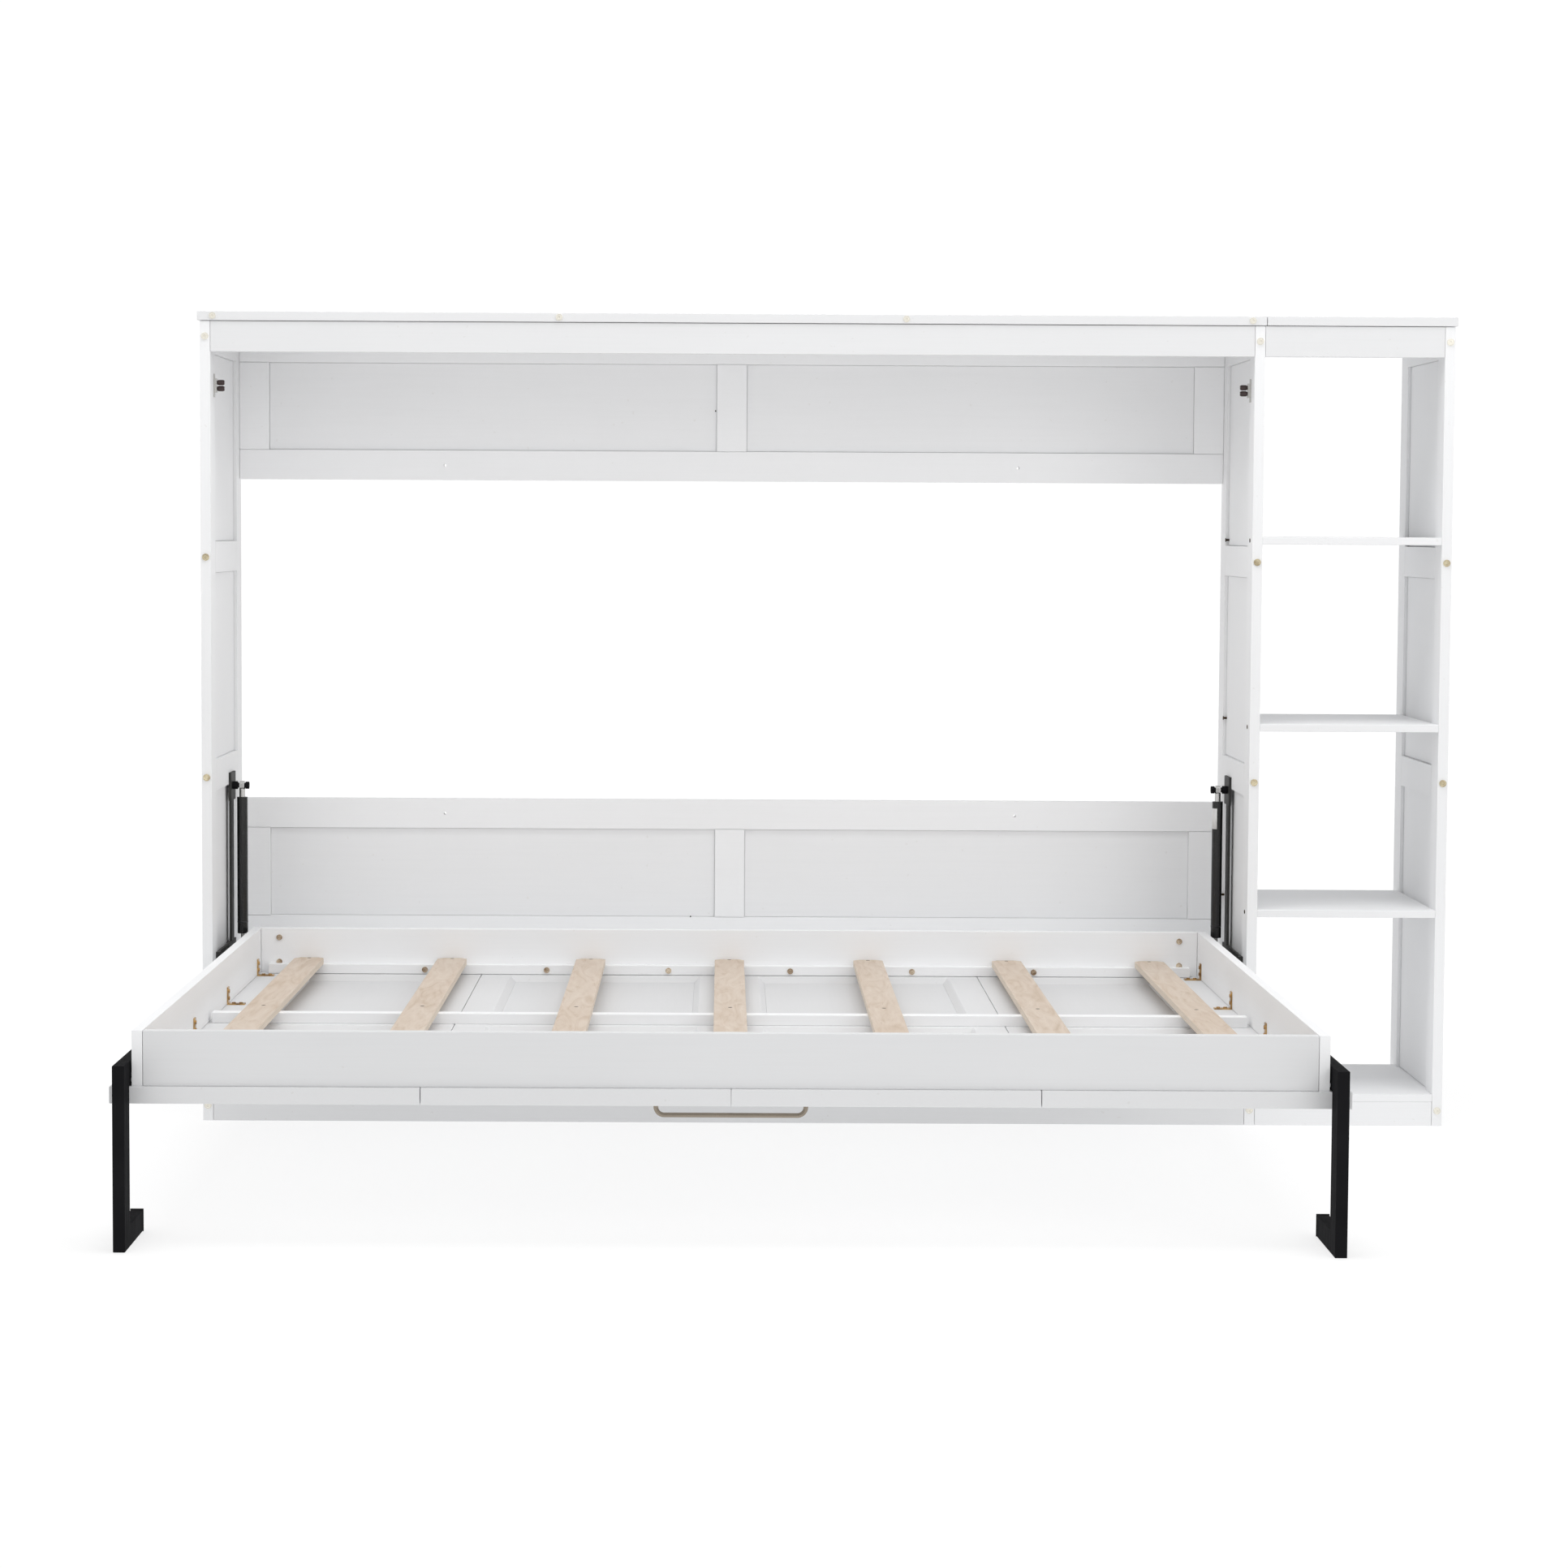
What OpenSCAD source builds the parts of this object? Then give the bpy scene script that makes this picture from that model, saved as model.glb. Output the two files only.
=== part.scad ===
// Side-tilting wall bed for a full-size mattress, with a shelf unit on its right.
// Millimetres. +X to the right seen from the room, +Y to the wall, +Z up.
// The origin is on the floor, at the wall, in the middle of the bed cabinet.
// The bed is drawn open, resting on its two folding legs.

/* [Cabinet] */

// Outer width of the bed cabinet
cab_w = 2100; // [1900:10:2300]
// Depth of the cabinet from the wall to its front edges
cab_d = 415; // [350:5:500]
// Height of the cabinet over its top board
cab_h = 1608; // [1400:1:1800]
// Thickness of the side frames and back frames
frame_t = 20; // [16:1:30]
// Thickness of the top boards
top_t = 18; // [12:1:30]
// Width of every stile and rail in the frames
rail_w = 62; // [40:1:90]
// Thickness of the thin panels inside the frames
infill_t = 6; // [4:1:12]
// How far the top boards stand out past the cabinet
top_lip = 4; // [0:1:10]
// Width of the shadow lines at the joints between boards
seam = 1.2; // [0.4:0.1:1.5]
// Height of the fascia under the top boards
fascia_h = 61; // [40:1:90]
// Thickness of the fascia and kick boards
fascia_t = 18; // [12:1:25]
// Height of the kick board under the bed
kick_h = 90; // [40:1:94]
// Lower edge of the upper back frame
upper_back_z = 1284; // [1100:1:1400]
// Top edge of the lower back frame
lower_back_h = 615; // [400:1:700]
// Top edge of the middle rail in the lower back frame
lower_mid_z = 367; // [300:1:450]
// Centre height of the middle rail in the side frames
side_rail_hi = 1124; // [900:1:1300]
// Centre height of the lower rail in the side frames
side_rail_lo = 687; // [500:1:900]

/* [Shelf unit] */

// Width added by the shelf unit
shelf_w = 375; // [250:5:500]
// Thickness of each shelf
shelf_t = 15; // [12:1:25]
// Depth of each shelf from the front
shelf_d = 376; // [300:1:415]
// Top of the first shelf, counted from the top
shelf_z1 = 1174.5; // [1000:0.5:1300]
// Top of the second shelf
shelf_z2 = 803.5; // [700:0.5:900]
// Top of the third shelf
shelf_z3 = 433; // [300:0.5:550]
// Top of the bottom shelf
shelf_z4 = 63.5; // [40:0.5:100]

/* [Bed] */

// Half of the length between the end boards
bed_in_x = 968; // [955:1:985]
// Thickness of the end boards and rails
board_t = 17.5; // [15:0.5:25]
// Height of the end boards and rails
board_h = 92; // [70:1:120]
// Top face of the door, where the end boards and rails stand
door_z = 265; // [240:1:300]
// Thickness of the door
door_t = 28; // [20:1:35]
// Half of the length of the door
door_x = 1022; // [1000:1:1025]
// Front edge of the open door, measured from the wall
door_front = 1576; // [1500:1:1600]
// Rear edge of the open door and of the bed box, measured from the wall
bed_rear = 150; // [100:1:200]
// Front face of the front rail, measured from the wall
bed_front = 1569; // [1500:1:1595]
// Depth of the recesses on the inner side of the door
door_recess = 12; // [8:1:20]
// Depth of the recesses on the room side of the door when it is shut
door_face_recess = 5; // [2:1:8]
// Length of each arm of the angle brackets
bracket_l = 34; // [25:1:45]
// Side of the square cleats under the slat ends
cleat = 20; // [15:1:30]
// Width of the centre beam under the slats
beam_w = 25; // [20:1:40]
// Width of a slat
slat_w = 60; // [45:1:80]
// Thickness of a slat
slat_t = 12; // [10:1:20]
// Distance between slat centres
slat_pitch = 286; // [250:1:300]
// How much further out the two end slats stand
slat_shift = 9; // [0:1:20]

/* [Fold and legs] */

// Distance of the fold axis from the wall
pivot_y = 351; // [340:1:360]
// Height of the fold axis
pivot_z = 301; // [290:1:310]
// Radius of the pivot pins
pin_r = 6; // [4:0.5:10]
// Radial clearance of the pivot pins and leg bolts
run = 0.06; // [0.01:0.01:0.1]
// Width of the leg tube
leg_w = 20; // [15:1:30]
// Depth of the leg tube
leg_d = 40; // [30:1:50]
// Depth of the leg's post
post_d = 48; // [40:1:55]
// Height of the leg's foot
foot_h = 37; // [30:1:40]
// Wall of the leg tube
leg_wall = 2; // [1:0.5:4]
// Inner face of each leg, from the middle of the bed
leg_x = 988; // [986:1:992]
// Front face of the legs, measured from the wall
leg_front = 1625; // [1615:0.5:1640]
// Distance of the leg bolts from the wall
leg_pivot_y = 1315; // [1275:5:1370]
// Length of the foot of each leg
foot_l = 167; // [120:1:200]
// Radius of the leg bolts
leg_bolt_r = 5; // [4:0.5:8]

/* [Gas struts and catches] */

// Distance of both strut centres from the middle of the bed
strut_x = 1005; // [1000:1:1012]
// Distance of the upper strut studs from the wall
strut_y = 170; // [150:1:200]
// Height of the upper strut studs
strut_top_z = 653; // [600:1:680]
// Height of the lower strut joints with the bed open
strut_low_z = 292; // [285:1:300]
// Outer radius of the strut tubes
tube_r = 10.75; // [9:0.25:14]
// Radius of the strut rods
rod_r = 4; // [3:0.5:6]
// Height of the roller catches
catch_z = 1464; // [1400:1:1500]
// Distance of the roller catches from the wall
catch_y = 365; // [340:1:390]
// Radius of a catch roller
roller_r = 5.35; // [4:0.05:5.4]

/* [Handle] */

// Half of the length of the pull handle
handle_x = 124; // [80:1:200]
// Radius of the handle rod
handle_r = 4; // [3:0.5:8]
// Distance of the handle from the wall
handle_y = 1545; // [1500:1:1570]
// Height of the handle rod's centre with the bed open
handle_z = 217; // [200:1:225]

/* [Hidden] */

seam_d = 3;
half = cab_w / 2;
inner = half - frame_t;
side_h = cab_h - top_t;
shelf_in = half + shelf_w - frame_t;
shelf_out = half + shelf_w;
fascia_z = side_h - fascia_h;
bed_out_x = bed_in_x + board_t;
rail_top = door_z + board_h;
slat_z = door_z + cleat;
door_bottom = door_z - door_t;
section_w = door_x / 2;
mid_y = (bed_front + bed_rear) / 2;
front_cleat_y = -bed_front + board_t;
rear_cleat_y = -bed_rear - board_t - cleat;
slat_screw_ys = [front_cleat_y + cleat / 2, -mid_y, rear_cleat_y + cleat / 2];
plate_t = 5;
bed_plate_t = 4;
leg_arm_z = door_z + 2;
leg_top = leg_arm_z + leg_d;
leg_pivot_z = leg_arm_z + leg_d / 2;
tube_top = strut_top_z - 24;
tube_low = strut_top_z - 306;
rod_l = 275;
$fn = 24;

// One of the names above, or all of them

white = [0.93, 0.935, 0.94];
pine = [0.86, 0.77, 0.66];
brass = [0.72, 0.6, 0.36];
steel = [0.7, 0.7, 0.72];
black = [0.07, 0.07, 0.08];

// A box given by its low and high corners
module block(low, high) {
    translate(low)
        cube(high - low);
}

// A cylinder along X from one X position to another
module rod_x(x0, x1, y, z, r) {
    translate([min(x0, x1), y, z])
        rotate([0, 90, 0])
            cylinder(r = r, h = abs(x1 - x0));
}

// A cylinder along Y from one Y position to another
module rod_y(x, y0, y1, z, r) {
    translate([x, max(y0, y1), z])
        rotate([90, 0, 0])
            cylinder(r = r, h = abs(y1 - y0));
}

// Draws the right-hand child again on the left
module both_sides() {
    children();
    mirror([1, 0, 0])
        children();
}

// A bolt head with a hexagon socket, facing the room, and its shank
module room_bolt(x, y, z, r, len) {
    difference() {
        union() {
            rod_y(x, y - 2.5, y, z, r);
            rod_y(x, y - 1, y + len, z, r / 2);
        }
        difference() {
            rod_y(x, y - 3, y - 1.7, z, r * 0.86);
            rod_y(x, y - 4, y, z, r * 0.7);
        }
        translate([x, y - 1, z])
            rotate([90, 0, 0])
                cylinder(r = r * 0.42, h = 4, $fn = 6);
    }
}

// Shallow step along the front top edge of a board, which leaves a dark line under the top board
module shadow_step(x0, x1) {
    block([x0 - 1, -cab_d - 1, side_h - seam], [x1 + 1, -cab_d + 8, side_h + 1]);
}

// A board between two side frames, under the top board
module fascia(x0, x1) {
    color(white)
        difference() {
            block([x0 + seam / 2, -cab_d, fascia_z], [x1 - seam / 2, -cab_d + fascia_t, side_h]);
            shadow_step(x0, x1);
        }
}

// Top boards, fascias and kick boards

module top_board() {
    color(white)
        block([-half - top_lip - 1, -cab_d - 3, side_h],
              [half + top_lip - 1 - seam / 2, 0, cab_h]);
}

module shelf_top_board() {
    color(white)
        block([half + top_lip - 1 + seam / 2, -cab_d - 3, side_h],
              [shelf_out + top_lip, 0, cab_h]);
}

module top_fascia() {
    fascia(-inner, inner);
}

module shelf_fascia() {
    fascia(half, shelf_in);
}

module kick_board() {
    color(white)
        block([-inner + seam / 2, -cab_d, 0], [inner - seam / 2, -cab_d + fascia_t, kick_h]);
}

module shelf_kick_board() {
    color(white)
        block([half + seam / 2, -cab_d, 0],
              [shelf_in - seam / 2, -cab_d + fascia_t, shelf_z4 - shelf_t]);
}

// A thin panel whose two faces stop one seam short of its frame, for a fine line around it
module stepped_panel(low, high, across) {
    through = [1, 1, 1] - across;
    union() {
        block(low + across * seam, high - across * seam);
        block(low + through * 2, high - through * 2);
    }
}

// Side frames: two stiles, four rails and three thin panels each

side_windows = [
    [rail_w, side_rail_lo - rail_w / 2],
    [side_rail_lo + rail_w / 2, side_rail_hi - rail_w / 2],
    [side_rail_hi + rail_w / 2, side_h - rail_w]
];

module side_frame(x) {
    color(white)
        difference() {
            block([x, -cab_d, 0], [x + frame_t, 0, side_h]);
            for (w = side_windows)
                block([x - 1, -cab_d + rail_w, w[0]], [x + frame_t + 1, -rail_w, w[1]]);
            // Joint lines between the stiles and the rails, on both faces
            for (face = [x, x + frame_t])
                for (y = [-cab_d + rail_w, -rail_w])
                    block([face - seam_d, y - seam / 2, -1], [face + seam_d, y + seam / 2, side_h + 1]);
            shadow_step(x, x + frame_t);
        }
}

module left_side_frame() {
    side_frame(-half);
}

module right_side_frame() {
    side_frame(inner);
}

module shelf_side_frame() {
    side_frame(shelf_in);
}

module side_infills() {
    gap = (frame_t - infill_t) / 2;
    color(white)
        for (x = [-half + gap, inner + gap, shelf_in + gap])
            for (w = side_windows)
                stepped_panel([x, -cab_d + rail_w, w[0]], [x + infill_t, -rail_w, w[1]], [0, 1, 1]);
}

// Back frames, against the wall between the side frames

module back_frame(z0, z1, windows) {
    color(white)
        difference() {
            block([-inner + seam / 2, -frame_t, z0], [inner - seam / 2, 0, z1]);
            for (w = windows)
                for (s = [-1, 1])
                    block([s > 0 ? rail_w / 2 : -inner + rail_w, -frame_t - 1, w[0]],
                          [s > 0 ? inner - rail_w : -rail_w / 2, 1, w[1]]);
            // Joint lines where the stiles meet the rails
            for (w = windows)
                for (z = w)
                    for (x = [-inner, -rail_w / 2, inner - rail_w])
                        block([x - 1, -frame_t - seam_d, z - seam / 2],
                              [x + rail_w + 1, -frame_t + seam_d, z + seam / 2]);
            for (x = [-600, 600])
                for (z = [upper_back_z + rail_w / 2, lower_back_h - rail_w / 2])
                    rod_y(x, -frame_t - 1, 1, z, 3);
        }
}

module back_infills(windows) {
    gap = (frame_t - infill_t) / 2;
    color(white)
        for (w = windows)
            for (s = [-1, 1])
                stepped_panel([s > 0 ? rail_w / 2 : -inner + rail_w, -frame_t + gap, w[0]],
                              [s > 0 ? inner - rail_w : -rail_w / 2, -gap, w[1]], [1, 0, 1]);
}

upper_windows = [[upper_back_z + rail_w, side_h - rail_w]];
lower_windows = [[rail_w, lower_mid_z - rail_w], [lower_mid_z, lower_back_h - rail_w]];

module upper_back_frame() {
    back_frame(upper_back_z, side_h, upper_windows);
}

module upper_back_infills() {
    back_infills(upper_windows);
}

module lower_back_frame() {
    back_frame(0, lower_back_h, lower_windows);
}

module lower_back_infills() {
    back_infills(lower_windows);
}

// Shelves

module shelf(z) {
    color(white)
        block([half, -cab_d, z - shelf_t], [shelf_in, -cab_d + shelf_d, z]);
}

module shelf_1() {
    shelf(shelf_z1);
}

module shelf_2() {
    shelf(shelf_z2);
}

module shelf_3() {
    shelf(shelf_z3);
}

module shelf_4() {
    shelf(shelf_z4);
}

// Fasteners of the cabinet

module cabinet_bolts() {
    color(brass) {
        for (x = [-1024.5, -342, 342, 1024.5])
            room_bolt(x, -cab_d - 3, side_h + top_t / 2, 6.5, 40);
        for (x = [-half + frame_t / 2, half - frame_t / 2, shelf_out - frame_t / 2])
            for (z = [rail_w / 2, side_rail_lo, side_rail_hi, side_h - rail_w / 2])
                room_bolt(x, -cab_d, z, 7, 75);
    }
}

module shelf_screws() {
    color(steel)
        for (z = [shelf_z1, shelf_z2, shelf_z3, shelf_z4])
            for (y = [-cab_d + 30, -cab_d + shelf_d - 30]) {
                rod_x(inner - 1, inner, y, z - shelf_t / 2, 4);
                rod_x(inner, half + 30, y, z - shelf_t / 2, 2.2);
                rod_x(shelf_out, shelf_out + 1, y, z - shelf_t / 2, 4);
                rod_x(shelf_in - 30, shelf_out, y, z - shelf_t / 2, 2.2);
            }
}

// Steel hinge plates on the side frames, with the fold pins and upper strut studs

module hinge_plates() {
    color(black)
        both_sides()
            union() {
                block([inner - plate_t, -186, 281], [inner, -153, strut_top_z + 27]);
                block([inner - plate_t, -190, 622], [inner, -127, strut_top_z + 27]);
                block([inner - plate_t, -pivot_y, 281], [inner, -127, 333]);
                rod_x(inner - plate_t, inner, -pivot_y, pivot_z, 20);
                block([inner - plate_t, -pivot_y - 20, pivot_z], [inner, -pivot_y, 333]);
                block([inner - 9, -pivot_y - 20, 319], [inner - plate_t, -pivot_y - 4, 333]);
            }
}

module hinge_plate_studs() {
    face = inner - plate_t;
    color(black)
        both_sides() {
            union() {
                rod_x(bed_out_x + 2, face, -pivot_y, pivot_z, pin_r);
                rod_x(face - 3, face, -pivot_y, pivot_z, 11);
            }
            union() {
                rod_x(strut_x - 7, face, -strut_y, strut_top_z, 5);
                rod_x(strut_x + 9, face, -strut_y, strut_top_z, 8);
                rod_x(strut_x - 14, strut_x - 7, -strut_y, strut_top_z, 7.5);
            }
        }
}

// Roller catches near the top of the side frames

module catch_brackets() {
    color(steel)
        both_sides()
            union() {
                block([inner - 1.5, -catch_y - 7, catch_z - 23], [inner, -catch_y + 7, catch_z + 23]);
                block([inner - 6.5, -catch_y - 7, catch_z - 14], [inner - 1.5, -catch_y + 7, catch_z + 14]);
                for (s = [-1, 1])
                    rod_x(inner - 21.5, inner - 6.5, -catch_y, catch_z + s * 6, 1.5);
            }
}

// A barrel-shaped roller with tapered ends
module roller(side, level) {
    z = catch_z + level * 6;
    x0 = side * (inner - 21);
    x1 = side * (inner - 7);
    color([0.16, 0.1, 0.08])
        difference() {
            translate([min(x0, x1), -catch_y, z])
                rotate([0, 90, 0])
                    union() {
                        cylinder(r1 = roller_r - 1.2, r2 = roller_r, h = 3);
                        translate([0, 0, 3])
                            cylinder(r = roller_r, h = 8);
                        translate([0, 0, 11])
                            cylinder(r1 = roller_r, r2 = roller_r - 1.2, h = 3);
                    }
            rod_x(x0 - side, x1 + side, -catch_y, z, 1.5 + run);
        }
}

module left_upper_roller() {
    roller(-1, 1);
}

module left_lower_roller() {
    roller(-1, -1);
}

module right_upper_roller() {
    roller(1, 1);
}

module right_lower_roller() {
    roller(1, -1);
}

// Door: four framed sections side by side, with thin panels set into them

door_rows = [
    [-bed_rear - 50, -mid_y + rail_w / 2],
    [-mid_y - rail_w / 2, -door_front + 61]
];

// Low and high X of the recesses of a section, counted from 0 on the left
function door_cols(i) =
    i == 0 ? [-section_w * 2 + 148, -section_w - 60] :
    i == 1 ? [-section_w + 60, -60] :
    i == 2 ? [60, section_w - 60] :
    [section_w + 60, section_w * 2 - 148];

module door_section(i) {
    x0 = -door_x + i * section_w;
    c = door_cols(i);
    color(white)
        difference() {
            block([x0 + (i > 0 ? 0.6 : 0), -door_front, door_bottom],
                  [x0 + section_w - (i < 3 ? 0.6 : 0), -bed_rear, door_z]);
            for (r = door_rows)
                recess_space(c, r);
        }
}

// Space cut for one panel: its four sides slope at 45 degrees down to the panel
module recess_space(c, r) {
    s = door_recess;
    block([c[0] + s, r[1] + s, door_bottom - 1], [c[1] - s, r[0] - s, door_z]);
    intersection() {
        translate([0, r[0], 0])
            rotate([90, 0, 0])
                linear_extrude(height = r[0] - r[1])
                    polygon([
                        [c[0] + s, door_z - s], [c[1] - s, door_z - s],
                        [c[1] + 1, door_z + 1], [c[0] - 1, door_z + 1]
                    ]);
        translate([c[0], 0, 0])
            rotate([90, 0, 90])
                linear_extrude(height = c[1] - c[0])
                    polygon([
                        [r[1] + s, door_z - s], [r[0] - s, door_z - s],
                        [r[0] + 1, door_z + 1], [r[1] - 1, door_z + 1]
                    ]);
    }
}

module door_section_1() {
    door_section(0);
}

module door_section_2() {
    door_section(1);
}

module door_section_3() {
    door_section(2);
}

module door_section_4() {
    door_section(3);
}

module door_infills() {
    color(white)
        for (i = [0 : 3])
            for (r = door_rows)
                block([door_cols(i)[0] + door_recess, r[1] + door_recess,
                       door_bottom + door_face_recess],
                      [door_cols(i)[1] - door_recess, r[0] - door_recess,
                       door_z - door_recess]);
}

// Bed box

module end_board() {
    difference() {
        block([bed_in_x, -bed_front, door_z], [bed_out_x, -bed_rear, rail_top]);
        // Fine line along the lower inner edge
        block([bed_in_x - 1, -bed_front + board_t, door_z - 1],
              [bed_in_x + 3, -bed_rear - board_t, door_z + seam]);
        rod_x(bed_in_x - 1, bed_out_x + 1, -leg_pivot_y, leg_pivot_z, leg_bolt_r + run);
    }
}

module left_end_board() {
    color(white)
        mirror([1, 0, 0])
            end_board();
}

module right_end_board() {
    color(white)
        end_board();
}

module front_rail() {
    color(white)
        block([-bed_in_x + seam / 2, -bed_front, door_z],
              [bed_in_x - seam / 2, -bed_front + board_t, rail_top]);
}

module rear_rail() {
    color(white)
        block([-bed_in_x + seam / 2, -bed_rear - board_t, door_z],
              [bed_in_x - seam / 2, -bed_rear, rail_top]);
}

module slat_cleats() {
    color(white)
        for (y = [front_cleat_y, rear_cleat_y])
            difference() {
                block([-950, y, door_z], [950, y + cleat, slat_z]);
                block([-951, y - 1, door_z - 1], [951, y + 3, door_z + seam]);
            }
}

module centre_beam() {
    color(white)
        block([-961, -mid_y - beam_w / 2, door_z], [961, -mid_y + beam_w / 2, slat_z]);
}

function slat_x(i) = (i - 4) * slat_pitch + (i == 1 ? -slat_shift : i == 7 ? slat_shift : 0);

module slat(i) {
    x = slat_x(i);
    y0 = front_cleat_y + 2;
    y1 = rear_cleat_y + cleat - 2;
    clip = 12;
    color(pine)
        difference() {
            translate([0, 0, slat_z])
                linear_extrude(height = slat_t)
                    polygon([
                        [x - slat_w / 2, y0 + clip], [x - slat_w / 2 + clip, y0],
                        [x + slat_w / 2 - clip, y0], [x + slat_w / 2, y0 + clip],
                        [x + slat_w / 2, y1 - clip], [x + slat_w / 2 - clip, y1],
                        [x - slat_w / 2 + clip, y1], [x - slat_w / 2, y1 - clip]
                    ]);
            // Countersunk screw holes
            for (y = slat_screw_ys)
                translate([x, y, slat_z]) {
                    translate([0, 0, -1])
                        cylinder(r = 2.1, h = slat_t + 2);
                    translate([0, 0, slat_t - 2.4])
                        cylinder(r1 = 2.1, r2 = 5.1, h = 3);
                }
        }
}

module slat_1() {
    slat(1);
}

module slat_2() {
    slat(2);
}

module slat_3() {
    slat(3);
}

module slat_4() {
    slat(4);
}

module slat_5() {
    slat(5);
}

module slat_6() {
    slat(6);
}

module slat_7() {
    slat(7);
}

// Fasteners and brackets of the bed

module slat_screws() {
    color(brass)
        for (i = [1 : 7])
            for (y = slat_screw_ys)
                translate([slat_x(i), y, slat_z])
                    difference() {
                        union() {
                            translate([0, 0, -12])
                                cylinder(r = 1.8, h = slat_t + 11);
                            translate([0, 0, slat_t - 2.4])
                                cylinder(r1 = 1.8, r2 = 4, h = 2.2);
                        }
                        translate([0, 0, slat_t - 1.4])
                            cylinder(r = 1.5, h = 2, $fn = 4);
                    }
}

module angle_brackets() {
    color(brass)
        both_sides()
            for (y = [-219, -631, -1036, -1445])
                union() {
                    block([bed_in_x - 2.5, y - 8, door_z], [bed_in_x, y + 8, door_z + bracket_l]);
                    block([bed_in_x - bracket_l, y - 8, door_z], [bed_in_x, y + 8, door_z + 2.5]);
                    for (a = [bracket_l * 0.36, bracket_l * 0.76]) {
                        rod_x(bed_in_x - 4.5, bed_in_x - 2.5, y, door_z + a, 3.6);
                        translate([bed_in_x - a, y, door_z + 2.5])
                            cylinder(r = 3.6, h = 2);
                    }
                }
}

module bed_bolts() {
    color(brass) {
        for (x = [-627.5, -376.5, -125.5, 125.5, 376.5, 627.5]) {
            room_bolt(x, rear_cleat_y, door_z + cleat / 2, 6, 30);
            mirror([0, 1, 0])
                room_bolt(x, -front_cleat_y - cleat, door_z + cleat / 2, 6, 30);
        }
        for (x = [-930, 930])
            for (z = [287.5, 338]) {
                room_bolt(x, rear_cleat_y + cleat, z, 6, 14);
                mirror([0, 1, 0])
                    room_bolt(x, -front_cleat_y, z, 6, 14);
            }
    }
}

// Bow handle on the room side of the door, near its free edge

module pull_handle() {
    bend = 14;
    color([0.62, 0.56, 0.5])
        union() {
            rod_x(-handle_x + bend, handle_x - bend, -handle_y, handle_z, handle_r);
            for (s = [-1, 1]) {
                translate([s * (handle_x - bend), -handle_y, handle_z + bend])
                    rotate([90, 0, 0])
                        rotate([0, 0, s > 0 ? 270 : 180])
                            rotate_extrude(angle = 90)
                                translate([bend, 0])
                                    circle(r = handle_r);
                translate([s * handle_x, -handle_y, handle_z + bend])
                    cylinder(r = handle_r, h = door_bottom - handle_z - bend);
            }
        }
}

// Steel plates on the end boards: the fold bush and the lower strut stub

module bed_pivot_plates() {
    plate_x = bed_out_x + bed_plate_t;
    color(black)
        both_sides()
            difference() {
                union() {
                    block([bed_out_x, -pivot_y - 24, door_z + 3], [plate_x, -strut_y + 18, door_z + 69]);
                    rod_x(plate_x, inner - plate_t - 5, -pivot_y, pivot_z, 11);
                    rod_x(plate_x, strut_x - 7.5, -strut_y, strut_low_z, 5);
                }
                rod_x(bed_out_x - 1, inner, -pivot_y, pivot_z, pin_r + run);
            }
}

// Thin tongues that push in between the catch rollers when the bed is shut

module strike_tongues() {
    // The closed height of the catch, turned back through the fold to the open bed
    y = -pivot_y - (catch_z - pivot_z);
    z = pivot_z + (pivot_y - catch_y) + 8;
    color(steel)
        both_sides()
            union() {
                block([inner - 20, y - 0.3, door_z], [inner - 10, y + 0.3, z]);
                block([inner - 20, y - 0.3, door_z], [inner - 10, y + 14, door_z + 1.5]);
            }
}

module leg_pivot_bolts() {
    color(steel)
        both_sides()
            union() {
                rod_x(bed_in_x - 4, leg_x + leg_w + 0.8, -leg_pivot_y, leg_pivot_z, leg_bolt_r);
                rod_x(leg_x + leg_w + 0.8, leg_x + leg_w + 5, -leg_pivot_y, leg_pivot_z, 9);
                translate([bed_in_x - 6, -leg_pivot_y, leg_pivot_z])
                    rotate([0, 90, 0])
                        cylinder(r = 9, h = 6, $fn = 6);
            }
}

// Folding legs: a mitred tube with an arm above the door, a post and a foot

module leg() {
    x1 = leg_x + leg_w;
    post_back = -leg_front + post_d;
    foot_end = -leg_front + foot_l;
    w = leg_wall;
    difference() {
        union() {
            block([leg_x, -leg_front, leg_arm_z], [x1, -leg_pivot_y, leg_top]);
            rod_x(leg_x, x1, -leg_pivot_y, leg_pivot_z, leg_d / 2);
            block([leg_x, -leg_front, 0], [x1, post_back, leg_top]);
            block([leg_x, -leg_front, 0], [x1, foot_end, foot_h]);
        }
        block([leg_x + w, -leg_front + w, leg_arm_z + w], [x1 - w, -leg_pivot_y - 20, leg_top - w]);
        block([leg_x + w, -leg_front + w, w], [x1 - w, post_back - w, leg_top - w]);
        block([leg_x + w, -leg_front + w, w], [x1 - w, foot_end + 1, foot_h - w]);
        rod_x(leg_x - 1, x1 + 1, -leg_pivot_y, leg_pivot_z, leg_bolt_r + run);
    }
}

module leg_cap() {
    foot_end = -leg_front + foot_l;
    w = leg_wall;
    union() {
        block([leg_x + w, foot_end - 20, w], [leg_x + leg_w - w, foot_end, foot_h - w]);
        block([leg_x - 1.2, foot_end, 0], [leg_x + leg_w + 1.2, foot_end + 9, foot_h + 1.2]);
    }
}

module left_leg() {
    color(black)
        mirror([1, 0, 0])
            leg();
}

module right_leg() {
    color(black)
        leg();
}

module left_leg_cap() {
    color(black)
        mirror([1, 0, 0])
            leg_cap();
}

module right_leg_cap() {
    color(black)
        leg_cap();
}

// Gas struts: a tube that turns on the upper stud and a rod that slides out of it

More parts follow.
